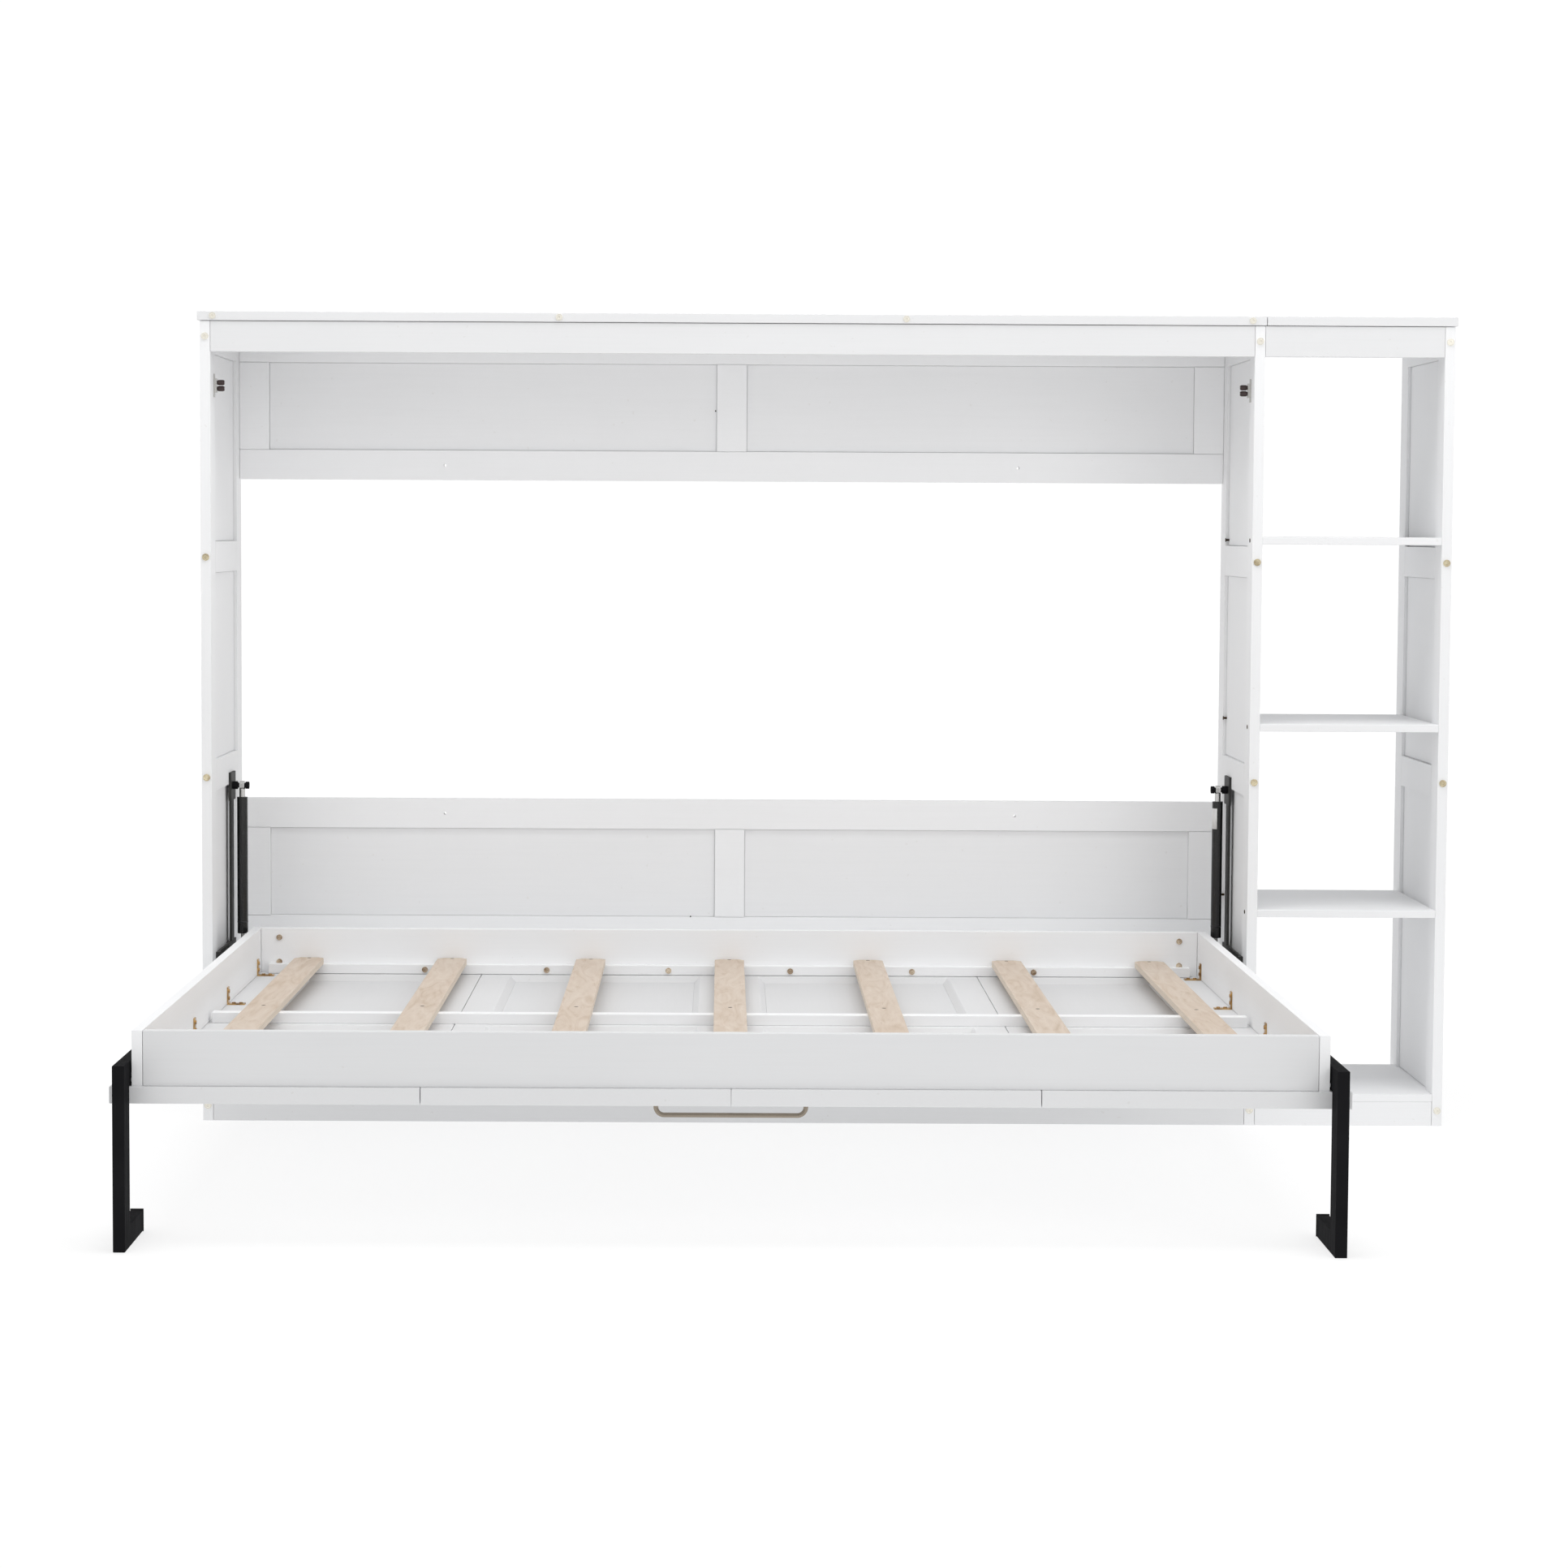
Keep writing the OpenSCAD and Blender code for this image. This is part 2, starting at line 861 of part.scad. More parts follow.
module strut_tube() {
    difference() {
        union() {
            translate([strut_x, -strut_y, tube_low])
                cylinder(r = tube_r, h = tube_top - tube_low);
            translate([strut_x, -strut_y, tube_top])
                cylinder(r = 6, h = 20);
            rod_x(strut_x - 5, strut_x + 5, -strut_y, strut_top_z, 9);
        }
        rod_x(strut_x - 6, strut_x + 6, -strut_y, strut_top_z, 5 + run);
        translate([strut_x, -strut_y, tube_low + 6])
            cylinder(r = tube_r - 2.25, h = tube_top - tube_low - 12);
        translate([strut_x, -strut_y, tube_low - 1])
            cylinder(r = rod_r + run, h = 8);
    }
}

module strut_rod() {
    union() {
        translate([strut_x, -strut_y, strut_low_z])
            cylinder(r = rod_r, h = rod_l);
        translate([strut_x, -strut_y, strut_low_z + rod_l - 8])
            cylinder(r = tube_r - 2.65, h = 8);
        translate([strut_x, -strut_y, strut_low_z])
            cylinder(r = 6, h = 22);
        rod_x(strut_x - 7, strut_x + 7, -strut_y, strut_low_z, 9);
    }
}

module left_strut_tube() {
    color(black)
        mirror([1, 0, 0])
            strut_tube();
}

module right_strut_tube() {
    color(black)
        strut_tube();
}

module left_strut_rod() {
    color(steel)
        mirror([1, 0, 0])
            strut_rod();
}

module right_strut_rod() {
    color(steel)
        strut_rod();
}

top_board();
top_fascia();
kick_board();
left_side_frame();
right_side_frame();
shelf_side_frame();
side_infills();
upper_back_frame();
upper_back_infills();
lower_back_frame();
lower_back_infills();
shelf_top_board();
shelf_fascia();
shelf_kick_board();
shelf_1();
shelf_2();
shelf_3();
shelf_4();
cabinet_bolts();
shelf_screws();
hinge_plates();
hinge_plate_studs();
catch_brackets();
left_upper_roller();
left_lower_roller();
right_upper_roller();
right_lower_roller();
door_section_1();
door_section_2();
door_section_3();
door_section_4();
door_infills();
left_end_board();
right_end_board();
front_rail();
rear_rail();
slat_cleats();
centre_beam();
slat_1();
slat_2();
slat_3();
slat_4();
slat_5();
slat_6();
slat_7();
slat_screws();
angle_brackets();
bed_bolts();
pull_handle();
bed_pivot_plates();
strike_tongues();
leg_pivot_bolts();
left_leg();
right_leg();
left_leg_cap();
right_leg_cap();
left_strut_tube();
left_strut_rod();
right_strut_tube();
right_strut_rod();
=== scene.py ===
"""Looks, light and camera for a fold-down wall bed with a side shelf unit.

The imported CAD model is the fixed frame. Every size below is in metres.
"""

import math

import bmesh
import bpy
from mathutils import Matrix, Vector


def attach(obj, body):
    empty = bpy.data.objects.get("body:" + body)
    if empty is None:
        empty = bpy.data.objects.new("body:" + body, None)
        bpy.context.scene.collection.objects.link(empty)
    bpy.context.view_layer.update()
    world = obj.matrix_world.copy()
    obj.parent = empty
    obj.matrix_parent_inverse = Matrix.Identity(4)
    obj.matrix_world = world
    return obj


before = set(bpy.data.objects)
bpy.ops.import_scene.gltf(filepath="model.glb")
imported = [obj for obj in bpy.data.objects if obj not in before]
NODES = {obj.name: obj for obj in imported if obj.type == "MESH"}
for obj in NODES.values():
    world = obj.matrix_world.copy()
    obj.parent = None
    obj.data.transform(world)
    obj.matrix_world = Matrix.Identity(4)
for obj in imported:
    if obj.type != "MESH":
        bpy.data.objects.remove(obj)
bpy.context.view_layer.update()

# ---------------------------------------------------------------- node helpers


def new_material(name):
    """An empty principled material: (material, nodes, links, shader)."""
    material = bpy.data.materials.new(name)
    material.use_nodes = True
    nodes, links = material.node_tree.nodes, material.node_tree.links
    return material, nodes, links, nodes["Principled BSDF"]


def coordinates(nodes, links, scale):
    """Object coordinates, stretched by scale: the frame's own metres times scale."""
    source = nodes.new("ShaderNodeTexCoord")
    mapping = nodes.new("ShaderNodeMapping")
    mapping.inputs["Scale"].default_value = scale
    links.new(source.outputs["Object"], mapping.inputs["Vector"])
    return mapping.outputs["Vector"]


def point(nodes, links):
    """The X, Y and Z of the shaded point, in the frame's own metres."""
    split = nodes.new("ShaderNodeSeparateXYZ")
    links.new(coordinates(nodes, links, (1, 1, 1)), split.inputs[0])
    return split.outputs


def feed(links, slot, value):
    """Sets a socket to a number or colour, or links another socket to it."""
    if isinstance(value, bpy.types.NodeSocket):
        links.new(value, slot)
    else:
        slot.default_value = value


def calculate(nodes, links, operation, *values):
    """One math node over values, which are numbers or sockets."""
    made = nodes.new("ShaderNodeMath")
    made.operation = operation
    for slot, value in zip(made.inputs, values):
        feed(links, slot, value)
    return made.outputs[0]


def noise(nodes, links, scale, detail=3.0, stretch=(1, 1, 1), distortion=0.0):
    """A noise value from 0 to 1 whose features are about 1 / scale metres."""
    made = nodes.new("ShaderNodeTexNoise")
    made.inputs["Scale"].default_value = scale
    made.inputs["Detail"].default_value = detail
    made.inputs["Distortion"].default_value = distortion
    links.new(coordinates(nodes, links, stretch), made.inputs["Vector"])
    return made.outputs["Fac"]


def ramp(nodes, links, value, stops):
    """A colour ramp over value; stops are (position, (r, g, b))."""
    made = nodes.new("ShaderNodeValToRGB")
    elements = made.color_ramp.elements
    for i, (position, colour) in enumerate(stops):
        element = elements[i] if i < 2 else elements.new(position)
        element.position = position
        element.color = (*colour, 1)
    links.new(value, made.inputs["Fac"])
    return made.outputs["Color"]


def spread(nodes, links, value, low, high, start=0.3, end=0.7):
    """value, from start to end, mapped to low to high."""
    made = nodes.new("ShaderNodeMapRange")
    made.inputs["From Min"].default_value = start
    made.inputs["From Max"].default_value = end
    made.inputs["To Min"].default_value = low
    made.inputs["To Max"].default_value = high
    links.new(value, made.inputs["Value"])
    return made.outputs["Result"]


def mix(nodes, links, factor, first, second, blend="MIX"):
    """Two colours mixed by factor, which is a number or a socket."""
    made = nodes.new("ShaderNodeMix")
    made.data_type = "RGBA"
    made.blend_type = blend
    slots = (made.inputs["Factor"], made.inputs[6], made.inputs[7])
    for slot, value in zip(slots, (factor, first, second), strict=True):
        feed(links, slot, value)
    return made.outputs[2]


def bump(nodes, links, heights, shader):
    """Chained bumps into the shader's normal; heights are (value, depth in metres)."""
    normal = None
    for value, depth in heights:
        made = nodes.new("ShaderNodeBump")
        made.inputs["Strength"].default_value = 1.0
        made.inputs["Distance"].default_value = depth
        links.new(value, made.inputs["Height"])
        if normal is not None:
            links.new(normal, made.inputs["Normal"])
        normal = made.outputs["Normal"]
    links.new(normal, shader.inputs["Normal"])


def along(axis, slow, fast):
    """Stretch that makes features long on one axis and fine on the other two."""
    return tuple(slow if name == axis else fast for name in "xyz")


# ------------------------------------------------------------------- materials

SATIN = 0.22  # usual specular level of the white paint
PLY = 0.00150  # thickness of one layer of the plywood
STRUT_NECK = 0.629  # height above which a strut tube is bare steel
FLOOR_GLOW = 0.70  # light given off by the floor under the bed
WHITE_GLOW = 1.04  # light that a background needs to come out pure white
FLOOR_CENTRE = (0.2, -3.0, 0.0)  # middle of the darker part of the floor


def white_paint(axis, tone, panel=False, shine=SATIN):
    """Satin white lacquer with the grain of the board just showing through it.

    axis is the way the grain runs; a panel shows less of it.
    """
    kind = "_panel" if panel else "_dull" if shine < SATIN else ""
    name = f"white_paint_{axis}_{round(tone * 100)}" + kind
    material, nodes, links, shader = new_material(name)
    grain = noise(nodes, links, 1, 6, along(axis, 5, 260), 0.4)
    cloud = noise(nodes, links, 2.2, 2)
    peel = noise(nodes, links, 700, 2)
    specks = noise(nodes, links, 95, 1)
    # tone sets how light the lacquer is; the lighter and darker copies made below carry
    # painted light and painted shade.
    body = (tone * 0.985, tone * 0.990, tone)
    light = tuple(c * 1.02 for c in body)
    base = ramp(nodes, links, cloud, [(0.30, body), (0.70, light)])
    streak = ramp(nodes, links, grain, [(0.32, (0.982,) * 3), (0.56, (1.0,) * 3)])
    base = mix(nodes, links, 0.55, base, streak, "MULTIPLY")
    fleck = ramp(nodes, links, specks, [(0.20, (0.90, 0.89, 0.87)), (0.24, (1.0,) * 3)])
    base = mix(nodes, links, 0.5, base, fleck, "MULTIPLY")
    links.new(base, shader.inputs["Base Color"])
    rough = spread(nodes, links, cloud, 0.52, 0.62)
    links.new(rough, shader.inputs["Roughness"])
    shader.inputs["Specular IOR Level"].default_value = shine
    depth = 0.00002 if panel else 0.00004
    bump(nodes, links, [(grain, depth), (peel, 0.00002)], shader)
    return material


def plywood():
    """Pale plywood strips: face grain along Y, thin plies on the cut sides."""
    material, nodes, links, shader = new_material("plywood")
    grain = noise(nodes, links, 1, 8, (34, 5.5, 34), 2.2)
    pores = noise(nodes, links, 1, 3, (900, 34, 900))
    cloud = noise(nodes, links, 5.5, 3, (1, 0.45, 1))
    face = ramp(
        nodes,
        links,
        grain,
        [
            (0.26, (0.595, 0.475, 0.365)),
            (0.46, (0.675, 0.565, 0.465)),
            (0.72, (0.730, 0.630, 0.530)),
        ],
    )
    tone = ramp(
        nodes, links, cloud, [(0.30, (0.94, 0.90, 0.86)), (0.66, (1.0, 1.0, 1.0))]
    )
    face = mix(nodes, links, 0.75, face, tone, "MULTIPLY")
    flecks = ramp(nodes, links, pores, [(0.27, (0.72, 0.62, 0.52)), (0.36, (1.0,) * 3)])
    face = mix(nodes, links, 0.6, face, flecks, "MULTIPLY")

    plies = calculate(nodes, links, "PINGPONG", point(nodes, links)["Z"], PLY)
    layer = spread(nodes, links, plies, 0, 1, PLY * 0.4, PLY * 0.6)
    side = ramp(
        nodes, links, layer, [(0, (0.660, 0.540, 0.420)), (1, (0.800, 0.700, 0.590))]
    )
    normal = nodes.new("ShaderNodeSeparateXYZ")
    facing = nodes.new("ShaderNodeTexCoord")
    links.new(facing.outputs["Normal"], normal.inputs[0])
    upright = calculate(nodes, links, "ABSOLUTE", normal.outputs["Z"])
    top = spread(nodes, links, upright, 0, 1, 0.5, 0.6)
    links.new(mix(nodes, links, top, side, face), shader.inputs["Base Color"])
    links.new(spread(nodes, links, grain, 0.62, 0.50), shader.inputs["Roughness"])
    bump(nodes, links, [(grain, 0.00022), (pores, 0.00012)], shader)
    return material


def plated_metal(name, dark, light, rough, tint=None, pale_ends=False):
    """Plated metal with fine dents; pale_ends paints it pale and less metallic near the
    floor and near the top, where it is painted glare from strong light.
    """
    material, nodes, links, shader = new_material(name)
    mottle = noise(nodes, links, 55, 4)
    fine = noise(nodes, links, 1210, 2)
    base = ramp(nodes, links, mottle, [(0.30, dark), (0.68, light)])
    if tint:
        patch = noise(nodes, links, 132, 2, distortion=1.5)
        glow = ramp(nodes, links, patch, [(0.38, (1, 1, 1)), (0.64, tint)])
        base = mix(nodes, links, 0.6, base, glow, "MULTIPLY")
    shader.inputs["Metallic"].default_value = 1.0
    # Painted glare: pale, less metallic metal near the floor and near the top; near the
    # top it stands in for strong light on the bolts.
    if pale_ends:
        height = point(nodes, links)["Z"]
        low = spread(nodes, links, height, 0.9, 0.0, 0.05, 0.20)
        high = spread(nodes, links, height, 0.0, 0.9, 1.35, 1.50)
        pale = calculate(nodes, links, "ADD", low, high)
        base = mix(nodes, links, pale, base, (0.90, 0.875, 0.80, 1))
        shine = spread(nodes, links, pale, 1.0, 0.25, 0, 0.9)
        links.new(shine, shader.inputs["Metallic"])
    links.new(base, shader.inputs["Base Color"])
    links.new(
        spread(nodes, links, mottle, rough * 1.25, rough * 0.8),
        shader.inputs["Roughness"],
    )
    bump(nodes, links, [(fine, 0.00005)], shader)
    return material


def brushed_metal(name, colour, rough, axis):
    """Drawn metal: hair lines along one axis."""
    material, nodes, links, shader = new_material(name)
    lines = noise(nodes, links, 1, 4, along(axis, 30, 2600))
    cloud = noise(nodes, links, 18, 2)
    dark = tuple(c * 0.78 for c in colour)
    base = ramp(nodes, links, lines, [(0.30, dark), (0.62, colour)])
    shade = ramp(nodes, links, cloud, [(0.30, (0.88,) * 3), (0.70, (1.0,) * 3)])
    links.new(
        mix(nodes, links, 0.7, base, shade, "MULTIPLY"), shader.inputs["Base Color"]
    )
    shader.inputs["Metallic"].default_value = 1.0
    links.new(
        spread(nodes, links, lines, rough * 1.3, rough * 0.8),
        shader.inputs["Roughness"],
    )
    bump(nodes, links, [(lines, 0.00003)], shader)
    return material


def coated_steel(name, colour, rough, grit, shine):
    """Painted steel: orange-peel skin with faint scuffs and lint."""
    material, nodes, links, shader = new_material(name)
    peel = noise(nodes, links, grit, 2)
    scuff = noise(nodes, links, 1, 5, (240, 240, 14), 0.8)
    cloud = noise(nodes, links, 9, 3)
    pale = tuple(c * 1.4 + 0.002 for c in colour)
    base = ramp(nodes, links, cloud, [(0.30, colour), (0.75, pale)])
    worn = ramp(nodes, links, scuff, [(0.66, (0, 0, 0)), (0.80, (0.02, 0.02, 0.02))])
    links.new(mix(nodes, links, 0.5, base, worn, "ADD"), shader.inputs["Base Color"])
    links.new(
        spread(nodes, links, scuff, rough * 0.85, rough * 1.2),
        shader.inputs["Roughness"],
    )
    shader.inputs["Specular IOR Level"].default_value = shine
    bump(nodes, links, [(peel, 0.00006), (scuff, 0.00002)], shader)
    return material


def strut_enamel():
    """Gloss black tube whose eye and neck are bright steel."""
    material, nodes, links, shader = new_material("strut_enamel")
    peel = noise(nodes, links, 900, 2)
    scuff = noise(nodes, links, 1, 5, (300, 300, 16), 0.8)
    height = point(nodes, links)["Z"]
    steel = spread(nodes, links, height, 0, 1, STRUT_NECK, STRUT_NECK + 0.0004)
    black = ramp(nodes, links, scuff, [(0.55, (0.008,) * 3), (0.80, (0.020,) * 3)])
    bright = ramp(
        nodes, links, scuff, [(0.35, (0.52, 0.51, 0.49)), (0.70, (0.74,) * 3)]
    )
    links.new(mix(nodes, links, steel, black, bright), shader.inputs["Base Color"])
    links.new(steel, shader.inputs["Metallic"])
    links.new(spread(nodes, links, scuff, 0.16, 0.30), shader.inputs["Roughness"])
    bump(nodes, links, [(peel, 0.00002)], shader)
    return material


def moulded_plastic(name, colour, rough, shine=0.5):
    """Moulded plastic with a fine spark-eroded texture."""
    material, nodes, links, shader = new_material(name)
    texture = noise(nodes, links, 1500, 2)
    cloud = noise(nodes, links, 25, 3)
    pale = tuple(c * 1.4 + 0.004 for c in colour)
    links.new(
        ramp(nodes, links, cloud, [(0.30, colour), (0.72, pale)]),
        shader.inputs["Base Color"],
    )
    links.new(
        spread(nodes, links, texture, rough * 0.85, rough * 1.15),
        shader.inputs["Roughness"],
    )
    shader.inputs["Specular IOR Level"].default_value = shine
    bump(nodes, links, [(texture, 0.00004)], shader)
    return material


def label_film():
    """Plain pale vinyl label with faint creases and nothing printed on it."""
    material, nodes, links, shader = new_material("label_film")
    crease = noise(nodes, links, 1, 4, (260, 260, 40), 0.6)
    film = [(0.30, (0.66, 0.66, 0.65)), (0.60, (0.80, 0.80, 0.79))]
    links.new(ramp(nodes, links, crease, film), shader.inputs["Base Color"])
    links.new(spread(nodes, links, crease, 0.30, 0.45), shader.inputs["Roughness"])
    bump(nodes, links, [(crease, 0.00004)], shader)
    return material


def floor_paint():
    """Plain pale studio floor with a glow of its own, pure white far from the bed."""
    material, nodes, links, shader = new_material("studio_floor")
    cloud = noise(nodes, links, 0.8, 2)
    reach = nodes.new("ShaderNodeVectorMath")
    reach.operation = "DISTANCE"
    reach.inputs[1].default_value = FLOOR_CENTRE
    links.new(coordinates(nodes, links, (1, 1, 1)), reach.inputs[0])
    far = spread(nodes, links, reach.outputs["Value"], 0, 1, 2.9, 4.6)
    near = ramp(nodes, links, cloud, [(0.3, (0.34,) * 3), (0.7, (0.36,) * 3)])
    base = mix(nodes, links, far, near, (0.02, 0.02, 0.02, 1))
    links.new(base, shader.inputs["Base Color"])
    glow = spread(nodes, links, far, FLOOR_GLOW, WHITE_GLOW, 0, 1)
    links.new(glow, shader.inputs["Emission Strength"])
    shader.inputs["Roughness"].default_value = 0.9
    shader.inputs["Specular IOR Level"].default_value = 0.1
    shader.inputs["Emission Color"].default_value = (1, 1, 1, 1)
    return material


# One white lacquer in several tones; PAINT, SHELF_PAINT and PANEL["z"] near 0.88 are
# its own tone.
PAINT = white_paint("z", 0.885, shine=0.06)
SHELF_PAINT = white_paint("x", 0.875, shine=0.08)
# Lighter copy of the same lacquer: painted light on parts that should get more light
# than the lamps give them.
PAINTED_LIGHT_WHITE = {axis: white_paint(axis, 0.96) for axis in "xy"}
# Darker copy of the same lacquer: painted shade on parts that should get less light
# than the lamps give them.
PAINTED_SHADE_WHITE = {axis: white_paint(axis, 0.775) for axis in "xy"}
PANEL = {
    # Back panels a little lighter than the lacquer's own tone: painted light.
    "x": white_paint("x", 0.92, panel=True),
    "z": white_paint("z", 0.875, panel=True, shine=0.04),
}
# Darker door panels: painted shade where they should get less light than the lamps give
# them.
PAINTED_SHADE_PANEL = white_paint("y", 0.75, panel=True)
PLYWOOD = plywood()
BRASS = plated_metal(
    "brass_pale_ends", (0.40, 0.32, 0.19), (0.80, 0.72, 0.52), 0.20, pale_ends=True
)
AGED_BRASS = plated_metal("aged_brass", (0.30, 0.20, 0.12), (0.86, 0.74, 0.58), 0.22)
DARK_BRASS = plated_metal("dark_brass", (0.03, 0.02, 0.01), (0.08, 0.05, 0.03), 0.60)
ZINC = plated_metal(
    "yellow_zinc", (0.22, 0.12, 0.05), (0.72, 0.48, 0.22), 0.30, (0.95, 0.90, 0.70)
)
BLACK_STEEL = coated_steel(
    "black_powder_coat", (0.010, 0.010, 0.011), 0.55, 1100, 0.005
)
HINGE_STEEL = coated_steel(
    "black_oxide_plate", (0.034, 0.034, 0.033), 0.55, 600, 0.15
)
STRUT_BLACK = strut_enamel()
BLACK_PLASTIC = moulded_plastic("black_plastic", (0.011, 0.011, 0.010), 0.60, 0.01)
BROWN_PLASTIC = moulded_plastic("brown_plastic", (0.030, 0.016, 0.014), 0.34)
BRIGHT_STEEL = brushed_metal("bright_steel", (0.66, 0.65, 0.62), 0.24, "z")
HANDLE_METAL = brushed_metal("antique_nickel", (0.33, 0.285, 0.23), 0.26, "x")
LABEL = label_film()
RING_BLACK = moulded_plastic("ring_black", (0.014, 0.014, 0.015), 0.30)
WHITE_PLASTIC = moulded_plastic("white_plastic", (0.60, 0.60, 0.61), 0.40)
# Near-black disc colour: painted shade for the inside of a screw hole.
HOLE_SHADE = moulded_plastic("screw_hole_shade", (0.020, 0.018, 0.016), 0.80)

# ------------------------------------------------------- finishes of CAD nodes

# Parts in the darker copy of the paint: painted shade.
PAINTED_SHADE_X = (
    "top_board top_fascia kick_board shelf_top_board shelf_fascia front_rail"
).split()
SHELVES = "shelf_kick_board shelf_1 shelf_2 shelf_3 shelf_4".split()
# Parts in the lighter copy of the paint: painted light.
PAINTED_LIGHT_X = "upper_back_frame lower_back_frame rear_rail slat_cleats centre_beam".split()
# Door sections in the darker copy of the paint: painted shade.
PAINTED_SHADE_Y = [f"door_section_{i}" for i in range(1, 5)]
BOARDS_Y = ["left_end_board", "right_end_board"]
BOARDS_Z = "left_side_frame right_side_frame shelf_side_frame".split()
BACK_PANELS = ["upper_back_infills", "lower_back_infills"]
ROLLERS = [f"{s}_{v}_roller" for s in ("left", "right") for v in ("upper", "lower")]

FINISHES = {
    SHELF_PAINT: SHELVES,
    # The lighter and darker white paints here carry painted light and painted shade;
    # the end boards take the lighter one.
    PAINTED_LIGHT_WHITE["x"]: PAINTED_LIGHT_X,
    PAINTED_LIGHT_WHITE["y"]: BOARDS_Y,
    PAINTED_SHADE_WHITE["x"]: PAINTED_SHADE_X,
    PAINTED_SHADE_WHITE["y"]: PAINTED_SHADE_Y,
    PAINT: BOARDS_Z,
    PANEL["x"]: BACK_PANELS,
    PAINTED_SHADE_PANEL: ["door_infills"],
    PANEL["z"]: ["side_infills"],
    PLYWOOD: [f"slat_{i}" for i in range(1, 8)],
    BRASS: ["cabinet_bolts"],
    AGED_BRASS: ["bed_bolts"],
    DARK_BRASS: ["slat_screws", "shelf_screws"],
    ZINC: ["angle_brackets"],
    BLACK_STEEL: ["left_leg", "right_leg", "hinge_plate_studs"],
    HINGE_STEEL: ["hinge_plates", "bed_pivot_plates"],
    STRUT_BLACK: ["left_strut_tube", "right_strut_tube"],
    BLACK_PLASTIC: ["left_leg_cap", "right_leg_cap"],
    BROWN_PLASTIC: ROLLERS,
    BRIGHT_STEEL: [
        "left_strut_rod",
        "right_strut_rod",
        "catch_brackets",
        "strike_tongues",
        "leg_pivot_bolts",
    ],
    HANDLE_METAL: ["pull_handle"],
}

# Width of the eased edge of each group of nodes
EDGES = {
    0.0012: SHELVES + PAINTED_LIGHT_X + BOARDS_Y + BOARDS_Z + PAINTED_SHADE_X + PAINTED_SHADE_Y,
    0.0007: FINISHES[PLYWOOD],
    0.0018: ["left_leg", "right_leg"],
    0.0008: ["cabinet_bolts", "bed_bolts", "left_strut_tube", "right_strut_tube"],
    0.0004: ["hinge_plates", "bed_pivot_plates", "catch_brackets"],
    0.0002: BACK_PANELS
    + ["door_infills", "side_infills", "angle_brackets", "strike_tongues"],
}


def paint_nodes():
    """Every CAD node gets its own finish."""
    for material, names in FINISHES.items():
        for name in names:
            mesh = NODES[name].data
            mesh.materials.clear()
            mesh.materials.append(material)


def ease_edges(obj, width, segments=2, group=None):
    """Rounds the sharp edges of a CAD node, or those of one vertex group only."""
    weld = obj.modifiers.new("weld", "WELD")
    weld.merge_threshold = 0.00002
    flat = obj.modifiers.new("flat faces", "DECIMATE")
    flat.decimate_type = "DISSOLVE"
    flat.angle_limit = math.radians(0.5)
    edge = obj.modifiers.new("eased edge", "BEVEL")
    edge.width = width
    edge.segments = segments
    if group:
        edge.limit_method = "VGROUP"
        edge.vertex_group = group
    else:
        edge.limit_method = "ANGLE"
        edge.angle_limit = math.radians(40)
    edge.use_clamp_overlap = True
    smooth = obj.modifiers.new("face normals", "WEIGHTED_NORMAL")
    smooth.keep_sharp = True


def round_cap(obj):
    """Rounds only the outer end of a foot cap, and leaves the plug inside sharp."""
    depths = [(obj.matrix_world @ v.co).y for v in obj.data.vertices]
    end = max(depths)
    rim = [i for i, y in enumerate(depths) if end - y < 0.001]
    group = obj.vertex_groups.new(name="outer_end")
    group.add(rim, 1.0, "REPLACE")
    ease_edges(obj, width=0.0078, segments=5, group=group.name)


# ---------------------------------------------------------------- added pieces

STRUT_X, STRUT_Y = 1.005, -0.170  # centre of the right strut
END_BOARD_X = 0.9855  # outer face of the right end board
BUMPER_Y, BUMPER_Z = -1.5615, 0.2745  # centre of the white stops
BACK_FACE_Y = -0.0200  # room side of the back frames
PILOT_HOLES = {"lower": (-0.082, 0.3680), "upper": (-0.034, 1.4310)}  # X and Z


def add_piece(name, mesh_maker, material, body):
    """A new mesh piece made by mesh_maker(bm), riding on a CAD body."""
    mesh = bpy.data.meshes.new(name)
    bm = bmesh.new()
    mesh_maker(bm)
    bmesh.ops.recalc_face_normals(bm, faces=bm.faces)
    bm.to_mesh(mesh)
    bm.free()
    mesh.materials.append(material)
    for face in mesh.polygons:
        face.use_smooth = True
    obj = bpy.data.objects.new(name, mesh)
    bpy.context.scene.collection.objects.link(obj)
    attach(obj, body)


def lathe(bm, profile, axis_point, axis, side, turn=math.tau, steps=40):
    """Turns a profile of (radius, distance along the axis) round it, from side on."""
    axis, side = Vector(axis), Vector(side)
    up = axis.cross(side)
    closed = abs(turn - math.tau) < 1e-6
    rings = []
    for i in range(steps if closed else steps + 1):
        a = turn * i / steps
        out = side * math.cos(a) + up * math.sin(a)
        rings.append(
            [bm.verts.new(Vector(axis_point) + out * r + axis * h) for r, h in profile]
        )
    count = len(rings) if closed else len(rings) - 1
    for i in range(count):
        a, b = rings[i], rings[(i + 1) % len(rings)]
        for k in range(len(profile) - 1):
            bm.faces.new((a[k], a[k + 1], b[k + 1], b[k]))
    bmesh.ops.remove_doubles(bm, verts=bm.verts, dist=1e-6)


def rounded_pin(radius, length, ease):
    """Profile of a short pin with an eased outer end."""
    return [
        (0.0, 0.0),
        (radius, 0.0),
        (radius, length - ease),
        (radius - ease * 0.3, length - ease * 0.3),
        (radius - ease, length),
        (0.0, length),
    ]


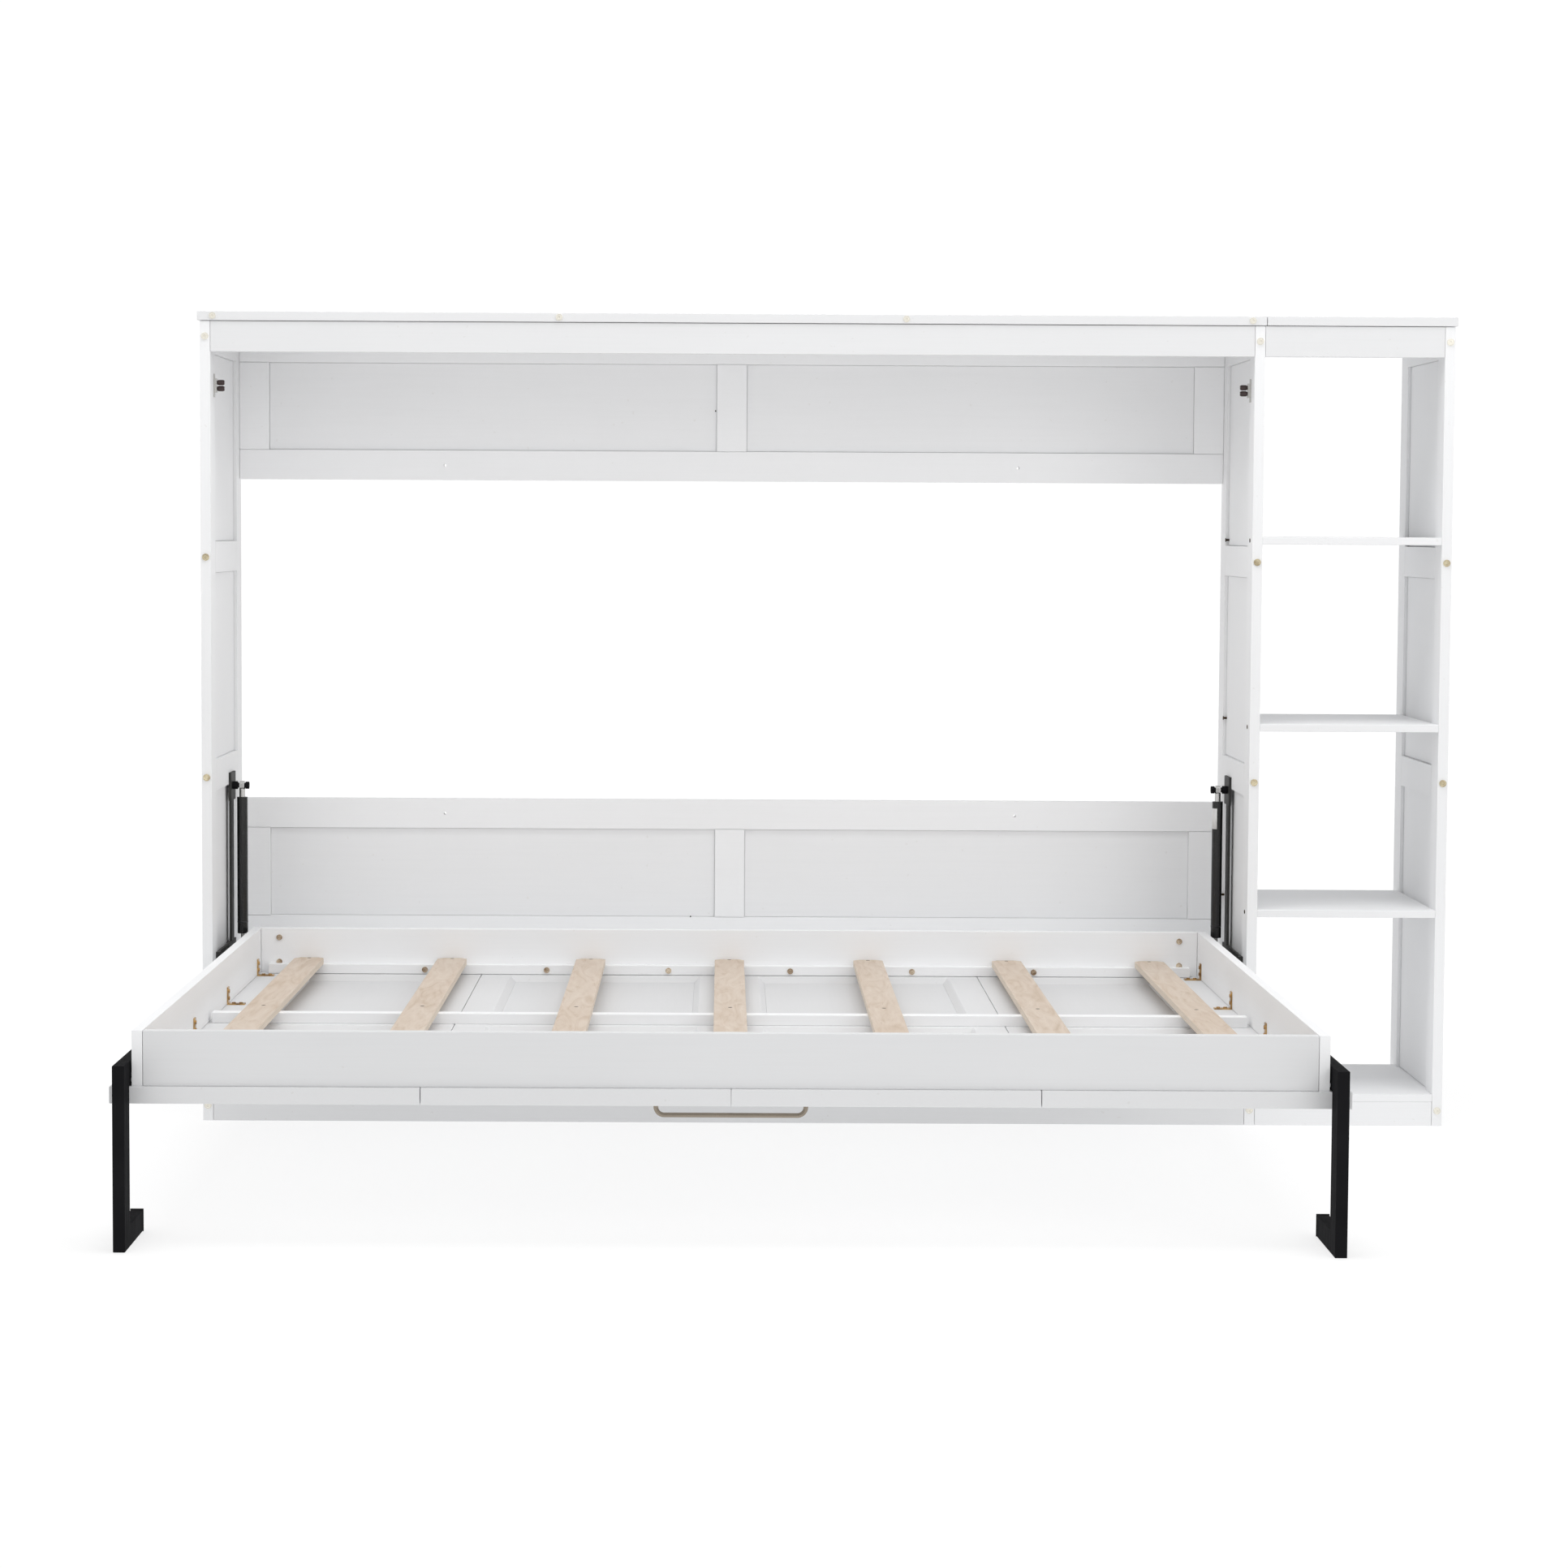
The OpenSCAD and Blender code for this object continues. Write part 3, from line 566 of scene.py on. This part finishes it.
def label(bm):
    """Blank label wrapped a third of the way round the right strut tube."""
    inner, outer, low, high = 0.01078, 0.01090, 0.5725, 0.6150
    skin = [(inner, low), (outer, low), (outer, high), (inner, high), (inner, low)]
    edge = (-0.9, 0.43, 0)
    lathe(bm, skin, (STRUT_X, STRUT_Y, 0), (0, 0, 1), edge, turn=1.8, steps=30)


def seam_ring(sign):
    """Crimped ring near the lower end of a strut tube."""

    def build(bm):
        band = [(0.0105, 0.3685), (0.0111, 0.3695), (0.0111, 0.3715), (0.0105, 0.3725)]
        centre = (sign * STRUT_X, STRUT_Y, 0)
        lathe(bm, band + band[:1], centre, (0, 0, 1), (1, 0, 0))

    return build


def bumper_pin(sign):
    """Small white stop on the outer face of an end board, facing the leg."""

    def build(bm):
        place = (sign * END_BOARD_X, BUMPER_Y, BUMPER_Z)
        pin = rounded_pin(radius=0.004, length=0.0022, ease=0.0008)
        lathe(bm, pin, place, (sign, 0, 0), (0, 0, 1))

    return build


def pilot_hole_shade(x, z):
    """Small dark disc on the face of a back frame: painted shade standing in for the
    inside of a screw hole.
    """

    def build(bm):
        disc = rounded_pin(radius=0.0016, length=0.00012, ease=0.00004)
        lathe(bm, disc, (x, BACK_FACE_Y, z), (0, -1, 0), (1, 0, 0), steps=20)

    return build


def add_small_pieces():
    """Label, rings, stops and dark discs of painted shade for screw holes, too fine for
    the CAD model.
    """
    add_piece("right_strut_label", label, LABEL, "right_strut_tube")
    for name, sign in (("left", -1), ("right", 1)):
        tube = f"{name}_strut_tube"
        add_piece(f"{name}_strut_ring", seam_ring(sign), RING_BLACK, tube)
        add_piece(f"{name}_bumper_pin", bumper_pin(sign), WHITE_PLASTIC, "bed")
    for name, (x, z) in PILOT_HOLES.items():
        add_piece(f"{name}_pilot_hole_shade", pilot_hole_shade(x, z), HOLE_SHADE, "cabinet")


paint_nodes()
for width, names in EDGES.items():
    for name in names:
        ease_edges(NODES[name], width)
for name in ("left_leg_cap", "right_leg_cap"):
    round_cap(NODES[name])
add_small_pieces()

# ------------------------------------------------------ camera, floor and light


def add_camera():
    """Long lens from head height, a little above the cabinet's middle."""
    data = bpy.data.cameras.new("camera")
    data.sensor_width = 36
    data.lens = 75.89
    data.shift_x = 0.03554
    data.shift_y = -0.03574
    data.clip_end = 100
    camera = bpy.data.objects.new("camera", data)
    turn = Matrix.Rotation(math.radians(-0.117), 4, "Z")
    tilt = Matrix.Rotation(math.radians(90 - 3.428), 4, "X")
    roll = Matrix.Rotation(math.radians(0.286), 4, "Z")
    place = Matrix.Translation((-0.0184, -6.9617, 1.1828))
    camera.matrix_world = place @ turn @ tilt @ roll
    bpy.context.scene.collection.objects.link(camera)
    bpy.context.scene.camera = camera


def add_floor():
    """A wide plain floor that carries the soft shadows."""
    mesh = bpy.data.meshes.new("floor")
    bm = bmesh.new()
    bmesh.ops.create_circle(bm, cap_ends=True, segments=96, radius=60)
    bm.to_mesh(mesh)
    bm.free()
    mesh.materials.append(floor_paint())
    floor = bpy.data.objects.new("floor", mesh)
    floor.location = (0, 0, -0.0005)
    bpy.context.scene.collection.objects.link(floor)


def add_softbox(name, place, target, size, power):
    """A large rectangular light at place, facing target; power is in watts."""
    data = bpy.data.lights.new(name, "AREA")
    data.shape = "RECTANGLE"
    data.size, data.size_y = size
    data.energy = power
    light = bpy.data.objects.new(name, data)
    light.location = place
    facing = Vector(target) - Vector(place)
    light.rotation_euler = facing.to_track_quat("-Z", "Y").to_euler()
    light.visible_camera = False
    bpy.context.scene.collection.objects.link(light)


def add_sky(walls, ceiling, behind):
    """Pale studio walls and ceiling, with pure white behind the object."""
    world = bpy.data.worlds.new("studio")
    world.use_nodes = True
    nodes, links = world.node_tree.nodes, world.node_tree.links
    back = nodes["Background"]
    back.inputs["Color"].default_value = (1.0, 1.0, 1.0, 1)
    direction = nodes.new("ShaderNodeTexCoord")
    split = nodes.new("ShaderNodeSeparateXYZ")
    level = nodes.new("ShaderNodeMapRange")
    level.interpolation_type = "SMOOTHSTEP"
    level.inputs["From Min"].default_value = 0.18
    level.inputs["From Max"].default_value = 0.75
    level.inputs["To Min"].default_value = walls
    level.inputs["To Max"].default_value = ceiling
    links.new(direction.outputs["Generated"], split.inputs[0])
    links.new(split.outputs["Z"], level.inputs["Value"])
    white = spread(nodes, links, split.outputs["Y"], 0.0, behind, 0.89, 0.94)
    brighter = calculate(nodes, links, "MAXIMUM", level.outputs["Result"], white)
    links.new(brighter, back.inputs["Strength"])
    bpy.context.scene.world = world


add_camera()
add_floor()
add_softbox("overhead", (0, -1.3, 3.8), target=(0, -1.0, 0), size=(4.0, 2.0), power=60)
add_softbox("key", (-2.8, -4.6, 3.4), target=(0, -0.6, 0.7), size=(3.0, 2.0), power=9)
add_softbox("fill", (3.4, -4.6, 2.6), target=(0, -0.6, 0.7), size=(2.6, 2.0), power=32)
add_sky(walls=0.62, ceiling=0.61, behind=WHITE_GLOW)
bpy.context.scene.view_settings.view_transform = "Standard"
